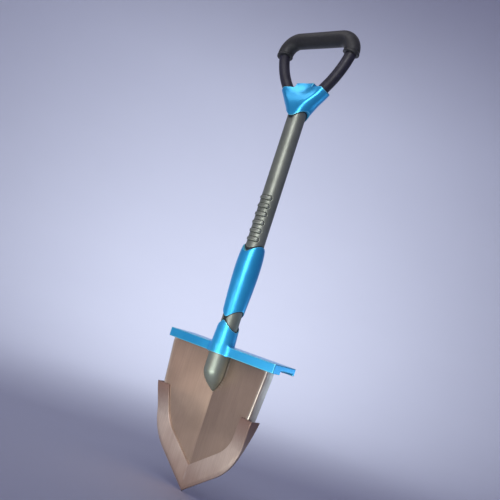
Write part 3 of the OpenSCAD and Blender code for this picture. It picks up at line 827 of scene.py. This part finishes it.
def yoke():
    """The moulding that joins the two legs to the shaft, dished between its arms."""
    low, high = (-49, -YOKE_FOOT_R, YOKE_LOW), (49, YOKE_FOOT_R, 662)

    def field(p):
        x, y, z = p
        wide = np.abs(x)
        # The body: a thick plate with round sides, which widens upwards and leans back a little.
        radius = YOKE_FOOT_R - (YOKE_FOOT_R - ARM_R - 0.5) * ease((z - 614) / 32)
        reach = YOKE_FOOT_R + 3.6 * np.log1p(np.exp((z - 605) / 5)) - radius
        deep = np.abs(y - 2 * ease((z - 622) / 20))
        body = np.hypot(np.maximum(wide - reach, 0), deep) - radius
        # The web between the arms is thinner towards the top.
        web = 8 + (radius - 8) * ease((659 - z) / 24)
        hollow = ease((0.8 * (reach - wide) - 1) / 20)
        body = both(np.maximum(body, deep - radius + (radius - web) * hollow), z - 658.5, 2.5)
        # Each arm ends square to its leg, with a countersunk bore for it.
        legs = [beside_line(p, side, MOUTH, LEAN) for side in (-1, 1)]
        for along, across in legs:
            body = both(body, along, 1.4)
            leg = np.maximum(np.hypot(across, y) - TUBE_R - 0.1, -along - 18)
            countersink = np.hypot(across, y) - (TUBE_R + 1.2 + along)
            body = minus(body, np.minimum(leg, countersink), 0.5)
        # A shallow round dish in front, and a notch beside each leg.
        dish = np.sqrt((x - 5) ** 2 + (y + 36) ** 2 + (z - 656) ** 2) - 29
        body = minus(body, dish, 5)
        notch = both(both(16.5 - wide, 650 - z, 4), y - 5, 2)
        body = minus(body, notch, 1.2)
        # The arched foot, the shaft's bore and the screws' holes.
        arch_cut = np.hypot(y, z - YOKE_LOW) - YOKE_ARCH_R
        body = minus(body, arch_cut, 0.9)
        body = both(body, YOKE_LOW - z, 0.6)
        shaft_bore = np.maximum(np.hypot(x, y) - SHAFT_R - 0.05, z - SHAFT_HIGH - 2.6)
        body = minus(body, shaft_bore, 0.4)
        holes = np.maximum(np.hypot(x, z - YOKE_SCREW_Z) - SCREW_HOLE_R, 15 - y)
        for sx, sz in ARM_SCREWS:
            holes = np.minimum(holes, np.maximum(np.hypot(x - sx, z - sz) - SCREW_HOLE_R, ARM_SEAT_Y - y))
        return minus(body, holes, 0.5)

    add_solid("yoke_moulding", field, low, high, 0.8, "azure_moulding", ["yoke"])


def bend_points(start, end, steps):
    """Points of the D's right-hand bend, as angles from level, outwards."""
    angles = np.radians(np.linspace(start, end, steps))
    return np.stack((BAR_HALF + BEND_R * np.cos(angles), 0 * angles, BEND_Z + BEND_R * np.sin(angles)), 1)


def whole(half):
    """A right-hand half of a path, from the middle outwards, with its mirror image put in front."""
    return np.concatenate((half[::-1] * (-1, 1, 1), half))


def handle():
    """The D's tube: a crossbar, two bends, and legs that bow outwards and end straight in the yoke."""
    bar = np.linspace((2, 0, BEND_Z + BEND_R), (BAR_HALF, 0, BEND_Z + BEND_R), 8, endpoint=False)
    bend = bend_points(90, -math.degrees(TOP_LEAN), 26)
    out, down = math.cos(TOP_LEAN), -math.sin(TOP_LEAN)
    centre = bend[-1] - np.array((out, 0, down)) * BOW_R
    angles = np.linspace(TOP_LEAN, LEAN, 20)[1:]
    bow = centre + BOW_R * np.stack((np.cos(angles), 0 * angles, -np.sin(angles)), 1)
    length = (bow[-1][2] - LEG_FOOT_Z) / math.cos(LEAN)
    leg = bow[-1] + np.outer(np.linspace(0, length, 6)[1:], (-math.sin(LEAN), 0, -math.cos(LEAN)))
    path = whole(np.concatenate((bar, bend, bow, leg)))
    points, faces = skin(swept(path, [TUBE_R] * len(path), 56, TUBE_R - TUBE_WALL), capped=False)
    add_piece("handle_bow", points, faces, "black_tube", ["handle_tube"])


def grip():
    """The soft sleeve on the D, with a rolled lip and a groove at each end."""
    bar = np.linspace((1, 0, BEND_Z + BEND_R), (BAR_HALF, 0, BEND_Z + BEND_R), 14, endpoint=False)
    bend = bend_points(90, -9, 60)
    half = np.concatenate((bar, bend))
    left = (np.radians(np.linspace(90, -9, 60)) + math.radians(9)) * BEND_R
    radii = [GRIP_R] * len(bar)
    for d in left:
        if d < 3.0:
            radii.append(GRIP_R + 0.5 * math.sqrt(max(1 - ((d - 1.5) / 1.5) ** 2, 0)) - 0.25 * (d < 0.3))
        else:
            radii.append(GRIP_R - 0.6 * math.exp(-((d - 3.9) / 0.7) ** 2))
    path = whole(half)
    radii = np.concatenate((radii[::-1], radii))
    ends = np.concatenate(([radii[0] - 0.9], radii, [radii[-1] - 0.9]))
    first, last = path[0] + (path[0] - path[1]) * 0.02, path[-1] + (path[-1] - path[-2]) * 0.02
    path = np.concatenate(([first], path, [last]))
    points, faces = skin(swept(path, ends, 72, TUBE_R + 0.02), capped=False)
    add_piece("grip_cover", points, faces, "grip_rubber", ["grip_sleeve"])


def fasteners():
    """Softens the edges of the screws' and rivets' heads, which keep their CAD shapes."""
    for name in ("plate_screws", "collar_screw", "sleeve_screws", "yoke_screws", "socket_rivets"):
        bevel = NODES[name].modifiers.new("soft_edges", "BEVEL")
        bevel.width = 0.25 * MM
        bevel.segments = 2
        bevel.limit_method = "ANGLE"
        bevel.angle_limit = math.radians(40)
        NODES[name].modifiers.new("weighted", "WEIGHTED_NORMAL")


# ---- Stage ----


def bowl():
    """A seamless studio floor that curves up into a round wall."""
    floor_r, bend, wall, segments = 0.95, 1.6, 3.4, 96
    profile = [(0, 0), (0.5, 0), (floor_r, 0)]
    profile += [
        (floor_r + bend * math.sin(a), bend * (1 - math.cos(a)))
        for a in np.linspace(0.1, math.pi / 2, 14)
    ]
    profile.append((floor_r + bend, wall))
    points, faces = [(0, 0, 0)], []
    for r, z in profile[1:]:
        points += [
            (r * math.cos(a), r * math.sin(a), z)
            for a in np.linspace(0, 2 * math.pi, segments, endpoint=False)
        ]
    for j in range(segments):
        k = (j + 1) % segments
        faces.append((0, 1 + j, 1 + k))
        for i in range(len(profile) - 2):
            a, b = 1 + i * segments, 1 + (i + 1) * segments
            faces.append((a + j, b + j, b + k, a + k))
    mesh = bpy.data.meshes.new("studio_floor")
    mesh.from_pydata(points, [], faces)
    mesh.shade_smooth()
    made = bpy.data.objects.new("studio_floor", mesh)
    bpy.context.scene.collection.objects.link(made)
    paint = material(
        "studio_paint",
        lambda tree: mixed(tree, noise(tree, 3, 2), (0.54, 0.54, 0.68), (0.56, 0.56, 0.70)),
        lambda tree: ranged(tree, noise(tree, 40, 2), 0.8, 0.95),
        [(lambda tree: noise(tree, 200, 2), 0.01)],
        Specular_IOR_Level=0.1,
    )
    mesh.materials.append(paint)
    return made


def softbox(name, at, aim, size, watts, colour=(1, 1, 1), floor=None, floor_state="EXCLUDE"):
    """An area light. It either passes over the floor that is given, or lights nothing else."""
    light = bpy.data.lights.new(name, "AREA")
    light.shape = "RECTANGLE"
    light.size, light.size_y = size
    light.energy = watts
    light.color = colour
    made = bpy.data.objects.new(name, light)
    made.location = at
    made.rotation_euler = (Vector(aim) - Vector(at)).to_track_quat("-Z", "Z").to_euler()
    made.visible_camera = False
    bpy.context.scene.collection.objects.link(made)
    if floor:
        linked = bpy.data.collections.new(name + "_floor")
        linked.objects.link(floor)
        linked.collection_objects[0].light_linking.link_state = floor_state
        made.light_linking.receiver_collection = linked


def around(azimuth, distance, height):
    a = math.radians(azimuth)
    return (distance * math.sin(a), -distance * math.cos(a), height)


def camera():
    """The view that the shovel is seen in: from its right, a little upwards, and rolled."""
    azimuth, rise, roll = (math.radians(a) for a in (39.61, 6.94, 17.97))
    level = Vector((math.cos(azimuth), math.sin(azimuth), 0))
    view = Vector((-math.sin(azimuth) * math.cos(rise), math.cos(azimuth) * math.cos(rise), math.sin(rise)))
    above = level.cross(view)
    right = math.cos(roll) * level + math.sin(roll) * above
    up = right.cross(view)
    data = bpy.data.cameras.new("camera")
    data.lens = 43.2
    data.sensor_width = 36
    data.clip_start = 0.01
    made = bpy.data.objects.new("camera", data)
    rotation = Matrix((right, up, -view)).transposed().to_4x4()
    made.matrix_world = Matrix.Translation((0.5856, -0.7299, 0.2619)) @ rotation
    bpy.context.scene.collection.objects.link(made)
    bpy.context.scene.camera = made


blade()
cutting_edge()
socket()
rippled_welds()
shaft()
thumb_ribs()
sleeve()
foot_plate()
yoke()
handle()
grip()
rubber_lip("sleeve_top_lip", SLEEVE_TOP - SLEEVE_DOME_R, SLEEVE_DOME_R + SEAL_T, SLEEVE_DOME_R, True,
           "sleeve_top_seal")
rubber_lip("sleeve_foot_lip", WAIST_Z, WAIST_R, WAIST_R - SEAL_T, True, "sleeve_foot_seal")
rubber_lip("collar_lip", WAIST_Z, WAIST_R, WAIST_R - SEAL_T, False, "collar_seal")
rubber_lip("yoke_lip", YOKE_LOW, YOKE_ARCH_R, YOKE_ARCH_R - SEAL_T, True, "yoke_seal")
fasteners()

floor = bowl()
softbox("key", around(25, 1.5, 0.80), (0, 0, 0.36), (0.6, 1.6), 17, (1, 1, 1), floor)
softbox("front", around(-32, 0.9, 1.75), (0, 0, 0.45), (0.8, 0.8), 5, (1.0, 0.97, 0.93), floor)
softbox("low_front", around(-15, 0.9, 0.13), (0, 0, 0.12), (0.4, 0.24), 0.6, (1.0, 0.84, 0.72), floor)
softbox("flange_light", around(141, 0.9, 0.05), (0.1, 0, 0.15), (0.5, 0.10), 1.1, (0.62, 0.85, 1.0), floor)
softbox("bounce", around(12, 0.32, 0.01), (0, -0.03, 0.19), (0.28, 0.28), 2.0, (0.88, 1.0, 0.94), floor)
softbox("glow", around(221, 0.9, 1.3), around(222, 2.5, 0.5), (0.8, 0.8), 25, (0.93, 1.0, 0.95))
softbox("wash", around(290, 0.3, 1.0), around(290, 0.3, 0), (1.0, 0.8), 2.4, (0.93, 1.0, 0.95), floor,
        floor_state="INCLUDE")

world = bpy.data.worlds.new("studio_air")
world.use_nodes = True
world.node_tree.nodes["Background"].inputs["Color"].default_value = (0.60, 0.56, 0.79, 1)
world.node_tree.nodes["Background"].inputs["Strength"].default_value = 0.32
bpy.context.scene.world = world
bpy.context.scene.view_settings.view_transform = "Standard"
camera()
